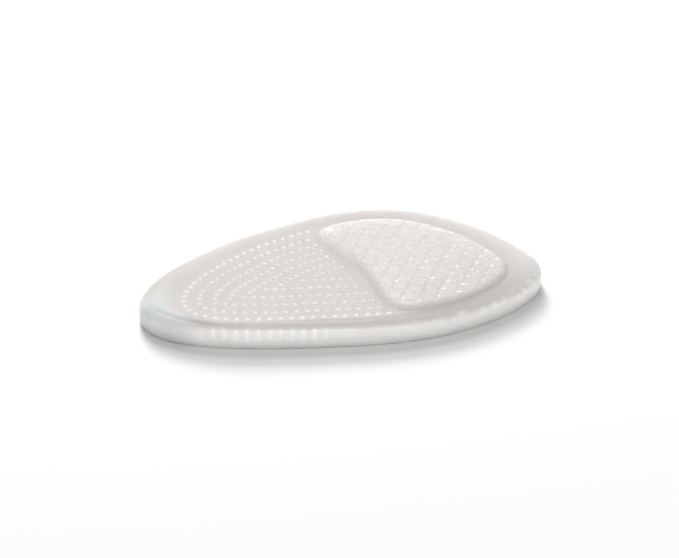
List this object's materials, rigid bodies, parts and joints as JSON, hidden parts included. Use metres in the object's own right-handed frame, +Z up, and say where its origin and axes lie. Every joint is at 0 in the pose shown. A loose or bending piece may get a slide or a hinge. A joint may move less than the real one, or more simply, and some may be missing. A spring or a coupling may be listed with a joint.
{
  "type": "metatarsal pad",
  "caption": "Egg-shaped clear silicone gel forefoot cushion, flat underneath, with a nubbed field on the narrow half and a cross-hatched low dome on the wide half.",
  "frame": {"origin": "bottom centre of the bounding box, on the flat underside", "axes": "+X from the narrow nubbed end to the wide domed end, +Y towards the side with the broad margin, +Z up through the textured face"},
  "size_m": [0.076, 0.05, 0.006],
  "materials": {
    "gel": "translucent milky silicone gel, satin and slightly tacky"
  },
  "bodies": {
    "root": {"gel_pad": "gel"}
  },
  "joints": []
}
